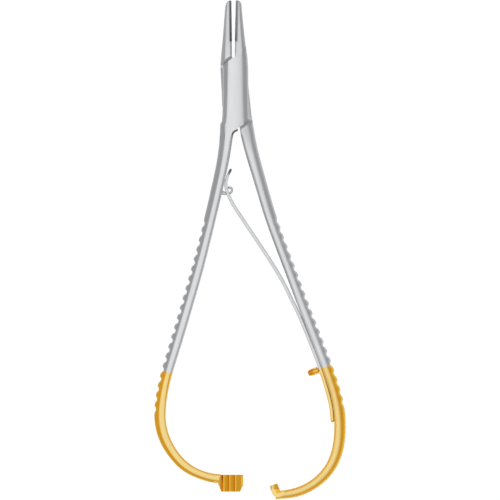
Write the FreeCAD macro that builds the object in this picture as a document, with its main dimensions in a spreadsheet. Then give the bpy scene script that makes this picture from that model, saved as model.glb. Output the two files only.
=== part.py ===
"""Surgical needle holder with a box lock, bow handles and a ratchet, lying on its back, in millimetres.

X is to the right and Y towards the jaw tips, seen from the front, and Z is up, out of the front.
The origin is the joint's axis on the rear face of the box. Both forgings are drawn closed, so that
jaws, seams and tongue fit, and the tongue half is then turned open about the joint pin.
"""
import FreeCAD, Part
import math
import os
import Sketcher
from FreeCAD import Placement, Rotation, Vector

FRONT = Vector(0, 0, 1)
FAR = 60.0
BEYOND = 3.0
OVERRUN = 0.5
SEEN_FROM_HANDLES = Rotation(Vector(1, 0, 0), FRONT, Vector(0, -1, 0), "XYZ")

# Driving dimensions: alias, value in millimetres or degrees, meaning
SIZES = [
    ("opening_angle", 2.70, "how far the jaws stand open at rest"),
    ("closed_jaw_gap", 0.12, "between the jaw tips when closed"),
    ("tip_reach", 31.20, "jaw tips above the pin"),
    ("root_reach", 14.70, "handle roots below the pin"),
    ("box_depth", 6.50, "front to back over the box"),
    ("tip_depth", 3.20, "front to back at the jaw tips"),
    ("mid_jaw_depth", 4.50, "front to back half way up the jaws"),
    ("arm_depth", 4.80, "front to back over the arms"),
    ("bow_end_depth", 4.40, "front to back at the ends of the bows"),
    ("tip_rounding", 1.50, "radius of each tip's outer corner"),
    ("grip_offset", -0.08, "where the gripping faces meet at the tips"),
    ("grip_tilt", 1.63, "tilt of the closed gripping faces"),
    ("tip_lead", 0.29, "each face leans back so that the tips meet first"),
    ("jaw_edge", 0.50, "bevel along the left gripping face"),
    ("box_jaw_edge", 0.30, "bevel along the right one"),
    ("insert_length", 13.90, "length of the hard-metal inserts"),
    ("insert_thickness", 0.70, "their thickness"),
    ("insert_proud", 0.07, "how far they stand out of the jaws"),
    ("box_left", 4.44, "pin to the left flank of the box"),
    ("box_right", 4.24, "pin to its right flank"),
    ("tongue_left", 4.88, "pin to the left flank of the tongue"),
    ("tongue_right", 4.40, "pin to its right flank"),
    ("tongue_thickness", 2.40, "front to back over the tongue"),
    ("tongue_side_gap", 0.05, "running gap at each face of the tongue"),
    ("tongue_half_width", 6.70, "pin to the sloping end of the tongue"),
    ("tongue_end_gap", 0.40, "room at each sloping end of the slot"),
    ("tongue_slope", 53.0, "slope of those ends"),
    ("seam_gap", 0.09, "gap along the closed seams"),
    ("shoulder_width", 0.75, "bevel of the tongue half along the seams"),
    ("shoulder_drop", 0.35, "its depth"),
    ("upper_seam_height", 12.28, "where the upper seam would cross the pin's line"),
    ("upper_seam_slope", 33.0, "its slope"),
    ("lower_seam_height", 12.55, "where the lower seam would cross it"),
    ("lower_seam_slope", 29.6, "its slope"),
    ("crotch_radius", 1.40, "fillet under the box"),
    ("lip_drop", 1.00, "how far the lip under the box reaches below the seam"),
    ("lip_gap", 0.10, "between the lip and the closed right arm"),
    ("lip_bevel", 0.65, "bevel round the lip and its fillet"),
    ("outer_bevel", 1.85, "width of the wide bevel"),
    ("outer_drop", 1.00, "depth of the wide bevel"),
    ("inner_bevel", 0.70, "width of the narrow bevel"),
    ("inner_drop", 0.50, "depth of the narrow bevel"),
    ("bow_outer_bevel", 0.90, "the wide bevel at the ends of the bows"),
    ("bow_inner_bevel", 0.28, "the narrow bevel in the bows"),
    ("outer_fade_length", 60.0, "over which the wide bevel narrows"),
    ("inner_fade_length", 22.0, "over which the narrow one does"),
    ("fade_reach", 55.0, "where both begin, from the ends of the bows"),
    ("flank_bevel", 0.90, "bevel of the tongue where it shows beside the box"),
    ("flank_drop", 0.50, "its depth"),
    ("flank_reach", 8.50, "how far it runs above and below the pin"),
    ("box_arm_root_width", 4.55, "left arm where it leaves the box"),
    ("tongue_arm_root_width", 4.80, "right arm where it leaves the box"),
    ("arm_width", 3.88, "both arms along the grips"),
    ("grip_swell", 0.30, "how much wider the left arm is half way along its grip"),
    ("bow_end_width", 2.90, "both arms at the ends of their bows"),
    ("bow_taper_length", 38.0, "over which the bows thin out"),
    ("pin_diameter", 2.40, "joint pin"),
    ("pin_running_gap", 0.04, "between the pin and the tongue"),
    ("scallop_count", 20, "notches on each grip"),
    ("scallop_pitch", 3.44, "from notch to notch on the left arm"),
    ("scallop_depth", 0.86, "depth of its deepest notch"),
    ("tongue_scallop_pitch", 3.46, "from notch to notch on the right arm"),
    ("tongue_scallop_depth", 0.70, "depth of its deepest notch"),
    ("box_grip_start", 29.4, "first crest on the left arm, from its root"),
    ("tongue_grip_start", 29.3, "first crest on the right arm, from its root"),
    ("plate_width", 8.75, "ratchet plate across its teeth"),
    ("plate_height", 5.70, "ratchet plate along the arm's radius"),
    ("plate_thickness", 2.10, "under the teeth"),
    ("tooth_pitch", 2.02, "from tooth to tooth"),
    ("tooth_land", 0.42, "flat crest of a tooth"),
    ("plate_margin", 0.82, "from the plate's right edge to its first tooth"),
    ("tooth_height", 0.75, "height of a tooth"),
    ("prong_width", 2.70, "hook's prong"),
    ("prong_reach", 4.40, "prong's length from the middle of its arm"),
    ("catch_gap", 0.15, "between the prong and the crests of the teeth"),
    ("catch_depth", 0.60, "how far the hook's tooth reaches past the prong"),
    ("spring_thickness", 1.15, "leaf spring"),
    ("spring_tip_thickness", 0.85, "at its curled end"),
    ("spring_width", 3.60, "front to back over the spring"),
    ("spring_seat_gap", 0.08, "between the spring and the arm that carries it"),
    ("spring_foot", 102.3, "lower end of the spring, along the arm from its root"),
    ("spring_lift", 66.0, "where it leaves the arm"),
    ("stud_distance", 83.0, "stop stud, along the arm from its root"),
    ("stud_length", 3.60, "how far it stands above the spring"),
    ("stud_diameter", 2.30, "over its body"),
    ("stud_nose_diameter", 1.80, "at its nose"),
    ("stud_foot_diameter", 2.50, "at its foot"),
    ("stud_shank_diameter", 1.20, "through the spring"),
    ("stud_seat_depth", 2.00, "shank inside the arm"),
    ("stud_foot_gap", 0.05, "under the stud's foot"),
    ("stud_shank_gap", 0.02, "between the shank and its holes"),
    ("keeper_distance", 19.0, "spring keeper, along the arm from its root"),
    ("keeper_width", 1.50, "front to back over the keeper"),
    ("keeper_thickness", 1.55, "thickness of its bar"),
    ("keeper_tip_thickness", 0.75, "thickness of its hooked end"),
    ("keeper_seat_depth", 1.60, "bar inside the arm"),
    ("keeper_seat_gap", 0.06, "between the bar and its seat"),
    ("keeper_slot_gap", 0.30, "between the keeper and its slot in the spring"),
]

doc = FreeCAD.newDocument("surgical_needle_holder")
sheet = doc.addObject("Spreadsheet::Sheet", "sizes")
for row, (alias, value, meaning) in enumerate(SIZES, start=1):
    sheet.set("A%d" % row, alias)
    sheet.set("B%d" % row, str(value))
    sheet.set("C%d" % row, meaning)
    sheet.setAlias("B%d" % row, alias)
doc.recompute()


class Sizes:
    """The sheet's values by name."""

    def __getattr__(self, alias):
        return float(sheet.get(alias))


size = Sizes()
MIDDLE = size.box_depth / 2
OPEN_TURN = Rotation(FRONT, size.opening_angle)


def closed(point):
    """A place on the tongue half at rest, turned back to where it lies when the jaws are closed."""
    return OPEN_TURN.inverted().multVec(point)


def new_body(label):
    body = doc.addObject("PartDesign::Body", label)
    body.Label = label
    return body


def add_outline(sketch, outline):
    """Adds a closed outline of points; a pair of points in the list stands for an arc through both."""
    corners = [item if isinstance(item, Vector) else item[1] for item in outline]
    first, count = len(sketch.Geometry), len(outline)
    for index, item in enumerate(outline):
        start = corners[index - 1]
        if isinstance(item, Vector):
            sketch.addGeometry(Part.LineSegment(start, item))
        else:
            sketch.addGeometry(Part.Arc(start, item[0], item[1]))
    for index in range(count):
        here, following = first + index, first + (index + 1) % count
        ends = end_of(sketch, here), following, start_of(sketch, following)
        sketch.addConstraint(Sketcher.Constraint("Coincident", here, *ends))
        sketch.addConstraint(Sketcher.Constraint("Block", here))


def is_reversed_arc(sketch, index):
    """Arcs in a sketch always run anticlockwise, so a clockwise one has its ends swapped."""
    shape = sketch.Geometry[index]
    return isinstance(shape, Part.ArcOfCircle) and shape.Axis.z < 0


def start_of(sketch, index):
    return 2 if is_reversed_arc(sketch, index) else 1


def end_of(sketch, index):
    return 1 if is_reversed_arc(sketch, index) else 2


def flat_sketch(body, name, outline, role="XY_Plane", level=None):
    """A sketch on one of the body's own planes, raised by an expression of the sheet."""
    sketch = body.newObject("Sketcher::SketchObject", name)
    plane = [item for item in body.Origin.OriginFeatures if item.Role == role][0]
    sketch.AttachmentSupport = [(plane, "")]
    sketch.MapMode = "FlatFace"
    if level:
        sketch.setExpression("AttachmentOffset.Base.z", level)
    add_outline(sketch, outline)
    return sketch


def pocket(body, name, outline, level="sizes.box_depth / 2", thickness=None, downward=None):
    """Cuts an outline right through, or over a thickness about its level, or to one side of it."""
    feature = body.newObject("PartDesign::Pocket", name)
    feature.Profile = flat_sketch(body, name + "_outline", outline, level=level)
    if thickness:
        feature.SideType = "Symmetric"
        feature.setExpression("Length", thickness)
    elif downward is None:
        feature.Type = "ThroughAll"
        feature.SideType = "Symmetric"
    else:
        feature.Type = "ThroughAll"
        feature.Reversed = not downward
    return feature


def station(body, name, corner, side, width, half_depth, bevels, drops):
    """One bevelled section: from the outer corner at mid depth, along side to the inner edge."""
    sketch = body.newObject("Sketcher::SketchObject", name)
    sketch.Placement = Placement(corner, Rotation(side, FRONT, side.cross(FRONT), "XYZ"))
    outer, inner = bevels
    outer_drop, inner_drop = drops
    upper = [
        Vector(0, half_depth - outer_drop, 0),
        Vector(outer, half_depth, 0),
        Vector(width - inner, half_depth, 0),
        Vector(width, half_depth - inner_drop, 0),
    ]
    lower = [Vector(point.x, -point.y, 0) for point in reversed(upper)]
    add_outline(sketch, upper + lower)
    return sketch


def loft(body, name, sections):
    feature = body.newObject("PartDesign::AdditiveLoft", name)
    feature.Profile = sections[0]
    feature.Sections = sections[1:]
    return feature


def seam_point(height, slope, x):
    return Vector(x, height + x * math.tan(math.radians(slope)), 0)


def wall_point(distance, along):
    """A place on a sloping end of the tongue, by its distance from the pin and along the slope."""
    slope = math.radians(size.tongue_slope)
    square = Vector(math.sin(slope), math.cos(slope), 0)
    run = Vector(math.cos(slope), -math.sin(slope), 0)
    return square * distance + run * along


# Stations of the closed jaws at mid depth: height, depth front to back and, for each half, the outer
# flank's distance from the pin's line and the width of its bevel
JAW_STATIONS = [
    (size.tip_reach, size.tip_depth, {"box": (1.78, 0.60), "tongue": (1.92, 0.60)}),
    (27.0, size.tip_depth + 0.3, {"box": (2.10, 0.80), "tongue": (2.60, 0.65)}),
    (22.0, size.mid_jaw_depth - 0.2, {"box": (2.58, 1.00), "tongue": (3.20, 0.80)}),
    (17.0, size.mid_jaw_depth + 0.7, {"box": (3.14, 1.20), "tongue": (3.86, 1.05)}),
    (12.0, size.box_depth, {"box": (3.90, 1.90), "tongue": (4.60, 1.40)}),
]
# Stations of the closed box: height and, for each half, the left and right flank and their bevels
LEFT, RIGHT, ROOT_BEVEL = -size.box_left, size.box_right, size.outer_bevel
BOX_STATIONS = [
    (12.0, {"box": (LEFT, 3.90, 1.75, 1.90), "tongue": (-4.60, 3.72, 1.40, 1.80)}),
    (8.2, {"box": (LEFT, 4.14, 1.75, 2.15), "tongue": (-4.94, 4.00, 1.40, 1.95)}),
    (0.0, {"box": (LEFT, RIGHT, 1.60, 2.15), "tongue": (-size.tongue_left, size.tongue_right, 1.40, 1.95)}),
    (-8.2, {"box": (-4.66, 4.46, 1.50, 2.10), "tongue": (-5.00, 4.90, 1.60, 1.95)}),
    (-10.2, {"box": (-4.88, 4.56, 1.50, 1.95), "tongue": (-5.12, 5.15, 1.80, 1.95)}),
    (-10.9, {"box": (-5.38, 4.60, 1.75, 1.95), "tongue": (-5.17, 5.24, 1.80, 1.95)}),
    (-size.root_reach, {"box": (-5.52, 4.80, ROOT_BEVEL, 1.95), "tongue": (-5.40, 5.72, 1.95, ROOT_BEVEL)}),
]


def outward(half):
    """Jaws: the box half's is on the right, the tongue half's on the left."""
    return 1 if half == "box" else -1


def jaw_plane(half, offset, y):
    """A place on a plane behind the gripping plane of one closed jaw, at height y."""
    side = outward(half)
    tilt = math.radians(size.grip_tilt - size.tip_lead * side)
    meeting = size.grip_offset + (size.closed_jaw_gap / 2 + offset) * side
    return Vector(meeting + (y - size.tip_reach) * math.tan(tilt), y, 0)


def jaw_loft(body, half):
    """Jaw of one half from its outer flank to its gripping plane, with both long edges bevelled."""
    side = outward(half)
    edge = size.box_jaw_edge if half == "box" else size.jaw_edge
    sections = []
    for index, (height, depth, flanks) in enumerate(JAW_STATIONS):
        flank, bevel = flanks[half]
        drop = size.outer_drop * depth / size.box_depth
        corner = Vector(flank * side, height, MIDDLE)
        width = (corner - jaw_plane(half, 0.0, height)).x * side
        sections.append(station(body, "jaw_section_%d" % index, corner, Vector(-side, 0, 0), width,
                                depth / 2, (bevel, edge), (drop, edge)))
    return loft(body, "jaw", sections)


def box_loft(body, half):
    """Box of one half at the closed instrument's whole width, before what it lacks is cut."""
    sections = []
    for index, (height, flanks) in enumerate(BOX_STATIONS):
        left, right, left_bevel, right_bevel = flanks[half]
        corner = Vector(left, height, MIDDLE)
        sections.append(station(body, "box_section_%d" % index, corner, Vector(1, 0, 0), right - left,
                                size.box_depth / 2, (left_bevel, right_bevel),
                                (size.outer_drop, size.outer_drop)))
    feature = loft(body, "box", sections)
    feature.Ruled = True
    return feature


def smooth(share):
    share = min(max(share, 0.0), 1.0)
    return share * share * (3 - 2 * share)


class ArmPath:
    """The outer edge of an arm and bow, with the arm's width and depth at each distance along it."""

    def __init__(self, places, side, root_width, root_fade, swell):
        curve = Part.BSplineCurve()
        curve.interpolate(places)
        self.edge = curve.toShape()
        self.length = self.edge.Length
        self.side = side
        self.root_width = root_width
        self.root_fade = root_fade
        self.swell = swell

    def point(self, distance, inward=0.0):
        place = self.edge.valueAt(self.edge.getParameterByLength(distance))
        return place + self.inward(distance) * inward

    def inward(self, distance):
        """Unit vector from the outer edge to the inner edge."""
        if distance <= 0:
            return Vector(self.side, 0, 0)
        tangent = self.edge.tangentAt(self.edge.getParameterByLength(distance))
        return Vector(-tangent.y, tangent.x, 0) * self.side

    def bow_share(self, distance):
        return smooth((distance - self.length + size.bow_taper_length) / size.bow_taper_length)

    def width(self, distance):
        """Across the arm: stout at the root, swollen along the grip and thinned out round the bow."""
        root = (self.root_width - size.arm_width) * math.exp(-distance / self.root_fade)
        grip = self.swell * (smooth((distance - 25) / 25) - smooth((distance - 68) / 20))
        thinned = (size.arm_width - size.bow_end_width) * self.bow_share(distance)
        return size.arm_width + root + grip - thinned

    def bevels(self, distance):
        """Widths of the outer and the inner bevel, which both narrow before the bow."""
        past = distance - self.length + size.fade_reach
        outer = smooth(past / size.outer_fade_length) * (size.outer_bevel - size.bow_outer_bevel)
        inner = smooth(past / size.inner_fade_length) * (size.inner_bevel - size.bow_inner_bevel)
        return size.outer_bevel - outer, size.inner_bevel - inner

    def half_depth(self, distance):
        arm, end = size.arm_depth / 2, size.bow_end_depth / 2
        root = (MIDDLE - arm) * (1 - smooth(distance / 30.0))
        return arm + root - (arm - end) * self.bow_share(distance)


def arm_loft(body, path, count=24):
    """Arm and bow of one half through bevelled sections square to its outer edge."""
    sections = []
    for index in range(count):
        distance = path.length * index / (count - 1)
        corner = path.point(distance) + FRONT * MIDDLE
        outer, inner = path.bevels(distance)
        drops = (size.outer_drop * outer / size.outer_bevel, size.inner_drop * inner / size.inner_bevel)
        sections.append(station(body, "arm_section_%d" % index, corner, path.inward(distance),
                                path.width(distance), path.half_depth(distance), (outer, inner), drops))
    return loft(body, "arm", sections)


# A notch falls away just below each crest and rises slowly to the next: share of the pitch, of the depth
SCALLOP_FALL = [(0.13, 0.13), (0.36, 1.00), (0.64, 0.46)]
SCALLOP_RISE = [(0.90, 0.02), (1.13, 0.13)]


def scallop_cut(body, path, start, pitch, deepest):
    """Row of rounded finger notches along the outer edge, cut from front to back, deepest half way."""
    notches = int(size.scallop_count)

    def place(count, share):
        along, deep = share
        depth = deepest * (0.6 + 0.4 * math.sin(math.pi * count / (notches - 1)))
        return path.point(start + (count + along) * pitch, depth * deep)

    row = [path.point(start, -4.0), path.point(start, -0.05), place(0, SCALLOP_FALL[0])]
    for count in range(notches):
        row.append((place(count, SCALLOP_FALL[1]), place(count, SCALLOP_FALL[2])))
        if count < notches - 1:
            row.append((place(count, SCALLOP_RISE[0]), place(count, SCALLOP_RISE[1])))
    finish = start + notches * pitch
    row.append((place(notches - 1, SCALLOP_RISE[0]), path.point(finish, -0.05)))
    row.append(path.point(finish, -4.0))
    row.append(path.point((start + finish) / 2, -4.0))
    return pocket(body, "scallops", row)


def rounded_tip(body, half):
    """Rounds the outer corner of a jaw tip."""
    side = outward(half)
    flank = JAW_STATIONS[0][2][half][0]
    radius, top = size.tip_rounding, size.tip_reach
    centre = Vector((flank + 0.1 - radius) * side, top - radius, 0)
    diagonal = Vector(side, 1, 0) * (radius * math.sqrt(0.5))
    beyond = radius + BEYOND
    return pocket(body, "tip_rounding", [
        centre + Vector(radius * side, 0, 0), (centre + diagonal, centre + Vector(0, radius, 0)),
        centre + Vector(0, beyond, 0), centre + Vector(beyond * side, beyond, 0),
        centre + Vector(beyond * side, 0, 0),
    ])


def insert_outline(half, start, end):
    """Outline between two planes behind the gripping plane, over the length of the insert."""
    low, high = size.tip_reach - size.insert_length, size.tip_reach + BEYOND
    return [
        jaw_plane(half, start, low), jaw_plane(half, end, low),
        jaw_plane(half, end, high), jaw_plane(half, start, high),
    ]


def jaw_insert(label, half):
    """Gripping strip with the jaw's own depth, flush with its front and rear faces."""
    body = new_body(label)
    jaw_loft(body, half)
    first, second, third, fourth = insert_outline(half, 0.0, size.insert_thickness)
    side = outward(half)
    pocket(body, "surroundings", [
        first, second, third,
        Vector(FAR * side, third.y, 0), Vector(FAR * side, -FAR, 0),
        Vector(-FAR * side, -FAR, 0), Vector(-FAR * side, fourth.y, 0), fourth,
    ])
    return body


# Outer edges of arm and bow below the roots: the left arm, and the right arm at rest
BOX_ARM_EDGE = [
    (-6.25, -21.80), (-7.90, -30.30), (-10.39, -41.20), (-13.64, -53.98), (-18.43, -70.90),
    (-23.49, -88.04), (-26.32, -98.29), (-27.65, -106.00), (-27.80, -111.40), (-26.75, -116.90),
    (-24.30, -122.10), (-20.20, -127.20), (-15.00, -130.80), (-10.56, -132.40), (-5.40, -133.19),
]
TONGUE_ARM_EDGE = [
    (7.97, -21.80), (10.29, -30.30), (13.52, -41.47), (18.09, -54.07), (24.46, -71.00), (31.06, -88.15),
    (34.75, -98.53), (36.70, -106.00), (37.35, -112.10), (37.10, -118.70), (35.40, -125.50),
    (31.85, -131.10), (27.40, -134.95), (21.30, -137.70), (13.50, -138.75),
]

box_root = Vector(BOX_STATIONS[-1][1]["box"][0], -size.root_reach, 0)
tongue_root = Vector(BOX_STATIONS[-1][1]["tongue"][1], -size.root_reach, 0)
box_edge = [box_root] + [Vector(x, y, 0) for x, y in BOX_ARM_EDGE]
tongue_edge = [tongue_root] + [closed(Vector(x, y, 0)) for x, y in TONGUE_ARM_EDGE]
box_path = ArmPath(box_edge, 1, size.box_arm_root_width, 6.5, size.grip_swell)
tongue_path = ArmPath(tongue_edge, -1, size.tongue_arm_root_width, 11.0, 0.0)


def ratchet_plate(body):
    """Plate at the end of the left bow, in the rear layer, with saw teeth on its front face."""
    end = box_path.edge.valueAt(box_path.edge.LastParameter)
    left = end.x - 0.9
    right = left + size.plate_width
    low = end.y - 2.95
    high = low + size.plate_height
    base = MIDDLE - size.bow_end_depth / 2 + size.plate_thickness
    crest = base + size.tooth_height
    corner = pocket(body, "front_of_plate", [
        Vector(left + 1.05, high + 0.1, 0),
        (Vector(left + 0.55, high - 1.35, 0), Vector(left - 0.15, high - 3.4, 0)),
        Vector(right, high - 3.4, 0), Vector(right, high + 0.1, 0),
    ], downward=False)
    corner.Profile[0].AttachmentOffset = Placement(Vector(0, 0, crest), Rotation())
    plate = body.newObject("PartDesign::Pad", "ratchet_plate")
    plate.Profile = flat_sketch(body, "plate_outline", [
        Vector(left, high, 0), Vector(right - 0.2, high, 0), Vector(right, high - 0.2, 0),
        Vector(right, low + 2.1, 0), Vector(right - 1.1, low, 0), Vector(left + 1.3, low, 0),
        Vector(left, low + 3.2, 0),
    ], level="(sizes.box_depth - sizes.bow_end_depth) / 2")
    plate.setExpression("Length", "sizes.plate_thickness + sizes.tooth_height")
    # Each ramp rises to the left, the way the hook travels, and ends in a steep face that holds it
    saw = [Vector(right + 1, crest + 1, 0), Vector(right + 1, base, 0)]
    start = right - size.plate_margin
    while start > left + size.tooth_pitch / 2:
        saw.append(Vector(start + 0.08, base, 0))
        start = start - size.tooth_pitch
        saw.append(Vector(start + 0.08 + size.tooth_land, crest, 0))
        saw.append(Vector(start + 0.08, crest, 0))
    saw[-1:] = [Vector(left - 1, crest, 0), Vector(left - 1, crest + 1, 0)]
    teeth = body.newObject("PartDesign::Pocket", "teeth")
    teeth.Profile = cross_sketch(body, "tooth_profile", low - BEYOND, saw)
    teeth.setExpression("Length", "sizes.plate_height + %g" % (2 * BEYOND))
    return teeth


def cross_sketch(body, name, height, outline):
    """A sketch across the instrument at a height, seen from the handles."""
    sketch = body.newObject("Sketcher::SketchObject", name)
    sketch.Placement = Placement(Vector(0, height, 0), SEEN_FROM_HANDLES)
    add_outline(sketch, outline)
    return sketch


def hook(body):
    """Prong at the end of the right bow, in the front layer, with a tooth that faces the plate."""
    end = tongue_path.edge.valueAt(tongue_path.edge.LastParameter)
    front = MIDDLE + size.bow_end_depth / 2
    rear = MIDDLE - size.bow_end_depth / 2 + size.plate_thickness + size.tooth_height + size.catch_gap
    left = end.x - 1.75
    right = left + size.prong_width
    top = end.y + 1.0 + size.prong_reach
    prong = body.newObject("PartDesign::Pad", "prong")
    prong.Profile = flat_sketch(body, "prong_outline", [
        Vector(left, top - 0.8, 0), Vector(right - 0.15, top, 0), Vector(right + 0.7, top - 2.5, 0),
        Vector(right + 2.1, top - 2.8, 0), Vector(right + 2.1, end.y + 1.0, 0),
        Vector(left + 2.0, end.y + 0.6, 0),
        Vector(left + 0.9, end.y + 1.6, 0), Vector(left + 0.2, end.y + 3.4, 0),
    ])
    prong.Profile[0].AttachmentOffset = Placement(Vector(0, 0, rear), Rotation())
    prong.Length = front - rear
    tooth = body.newObject("PartDesign::Pad", "hook_tooth")
    tooth.Profile = cross_sketch(body, "hook_tooth_profile", top - 0.9, [
        Vector(left + 0.45, rear, 0), Vector(left + 1.35, rear - size.catch_depth, 0),
        Vector(left + 1.60, rear - size.catch_depth, 0), Vector(left + 1.75, rear, 0),
    ])
    tooth.Length = 2.0
    wedge = body.newObject("PartDesign::Pocket", "prong_flanks")
    wedge.Profile = cross_sketch(body, "prong_flanks_profile", end.y + size.bow_end_width + 0.6, [
        Vector(left - 0.5, front - 0.65, 0), Vector(left + 0.65, front, 0), Vector(left + 0.65, front + 1, 0),
        Vector(left - 0.5, front + 1, 0),
    ])
    add_outline(wedge.Profile[0], [
        Vector(left + 1.2, front, 0), Vector(left + 3.6, front - 1.45, 0), Vector(left + 3.6, front + 1, 0),
        Vector(left + 1.2, front + 1, 0),
    ])
    wedge.Length = size.prong_reach
    return wedge


def pin_bore(body, diameter):
    """Bore for the joint pin, right through."""
    feature = body.newObject("PartDesign::Pocket", "pin_bore")
    sketch = body.newObject("Sketcher::SketchObject", "pin_circle")
    plane = [item for item in body.Origin.OriginFeatures if item.Role == "XY_Plane"][0]
    sketch.AttachmentSupport = [(plane, "")]
    sketch.MapMode = "FlatFace"
    sketch.addGeometry(Part.Circle(Vector(0, 0, 0), FRONT, size.pin_diameter / 2))
    sketch.addConstraint(Sketcher.Constraint("Coincident", 0, 3, -1, 1))
    sketch.addConstraint(Sketcher.Constraint("Diameter", 0, size.pin_diameter))
    sketch.setExpression("Constraints[1]", diameter)
    feature.Profile = sketch
    feature.Type = "ThroughAll"
    feature.SideType = "Symmetric"
    return feature


def keeper_seat(body):
    """Blind slot in the left arm that the keeper's bar is pressed into."""
    place, away, up = keeper_frame()
    half = size.keeper_thickness / 2 + size.keeper_seat_gap
    deep = size.keeper_seat_depth + half
    return pocket(body, "keeper_seat", [
        place - away * deep - up * half, place + away - up * half,
        place + away + up * half, place - away * deep + up * half,
    ], thickness="sizes.keeper_width")


def stud_seat(body):
    """Blind bore in the right arm for the stud's shank."""
    feature = body.newObject("PartDesign::Pocket", "stud_seat")
    distance = size.stud_distance
    mouth = tongue_path.point(distance, tongue_path.width(distance) + OVERRUN)
    feature.Profile = stud_circle(body, mouth, stud_axis())
    feature.setExpression("Length", "sizes.stud_seat_depth + %g" % OVERRUN)
    return feature


def right_arm_start():
    """Top of the closed right arm's inner edge, and the place where its loft begins."""
    return wall_point(-size.tongue_half_width, 10.0), tongue_path.point(0, tongue_path.width(0))


def under_box(body):
    """Frees the box from the right arm: along the seam, round the lip and down the left arm."""
    inner = box_path.point(0, box_path.width(0))
    lower, slope = -size.lower_seam_height, size.lower_seam_slope
    top, bottom = right_arm_start()
    lean = (bottom.x - top.x) / (bottom.y - top.y)
    edge = [seam_point(lower - drop, slope, top.x - size.lip_gap) for drop in (0, size.lip_drop)]
    edge[1] = edge[1] + Vector((edge[1].y - edge[0].y) * lean, 0, 0)
    corner = seam_point(lower - size.lip_drop, slope, inner.x)
    reach = size.crotch_radius * math.tan(math.radians(45 - slope / 2))
    along = Vector(math.cos(math.radians(slope)), math.sin(math.radians(slope)), 0)
    centre = Vector(inner.x + size.crotch_radius, corner.y - reach, 0)
    middle = centre + (corner - centre).normalize() * size.crotch_radius
    cut = pocket(body, "under_box", [
        seam_point(lower, slope, FAR), edge[0], edge[1], corner + along * reach,
        (middle, Vector(inner.x, corner.y - reach, 0)),
        Vector(inner.x, -size.root_reach - BEYOND, 0), Vector(FAR, -size.root_reach - BEYOND, 0),
    ])
    doc.recompute()
    rim = []
    for number, line in enumerate(cut.Shape.Edges, start=1):
        place = line.CenterOfMass
        if abs(abs(place.z - MIDDLE) - MIDDLE) < 0.001 and inner.x - 0.01 < place.x < edge[1].x - 0.1:
            if place.y < edge[1].y + 0.1 and line.BoundBox.ZLength < 0.001:
                rim.append("Edge%d" % number)
    bevel = body.newObject("PartDesign::Chamfer", "lip_bevel")
    bevel.Base = (cut, rim)
    bevel.setExpression("Size", "sizes.lip_bevel")
    return bevel


def box_half():
    """Right jaw, box, left arm and ratchet plate, forged in one."""
    body = new_body("box_half")
    jaw_loft(body, "box")
    box_loft(body, "box")
    face = size.insert_proud
    upper, slope = size.upper_seam_height, size.upper_seam_slope
    foot = jaw_plane("box", face, seam_point(upper, slope, -0.5).y)
    pocket(body, "beside_right_jaw", [
        jaw_plane("box", face, size.tip_reach + BEYOND), foot, seam_point(upper, slope, -12),
        Vector(-12, size.tip_reach + BEYOND, 0),
    ])
    under_box(body)
    arm_loft(body, box_path)
    slot_half = size.tongue_half_width + size.tongue_end_gap
    pocket(body, "slot", [
        wall_point(slot_half, -FAR), wall_point(slot_half, FAR),
        wall_point(-slot_half, FAR), wall_point(-slot_half, -FAR),
    ], thickness="sizes.tongue_thickness + 2 * sizes.tongue_side_gap")
    scallop_cut(body, box_path, size.box_grip_start, size.scallop_pitch, size.scallop_depth)
    ratchet_plate(body)
    keeper_seat(body)
    pin_bore(body, "sizes.pin_diameter")
    pocket(body, "insert_seat", insert_outline("box", -BEYOND, size.insert_thickness))
    rounded_tip(body, "box")
    return body


def seam_shoulder(body, name, height, slope, away):
    """Bevels the front and rear edges along a seam; away is the side of the seam they are on."""
    angle = math.radians(slope)
    square = Vector(-math.sin(angle), math.cos(angle), 0) * away
    sketch = body.newObject("Sketcher::SketchObject", name + "_profile")
    frame = Rotation(square, FRONT, square.cross(FRONT), "XYZ")
    sketch.Placement = Placement(Vector(0, height, MIDDLE), frame)
    wide, drop = size.shoulder_width, size.shoulder_drop
    for face in (1, -1):
        add_outline(sketch, [
            Vector(-wide, face * (MIDDLE - 2 * drop), 0), Vector(2 * wide, face * (MIDDLE + drop), 0),
            Vector(-wide, face * (MIDDLE + drop), 0),
        ])
    feature = body.newObject("PartDesign::Pocket", name)
    feature.Profile = sketch
    feature.Type = "ThroughAll"
    feature.SideType = "Symmetric"
    return feature


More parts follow.
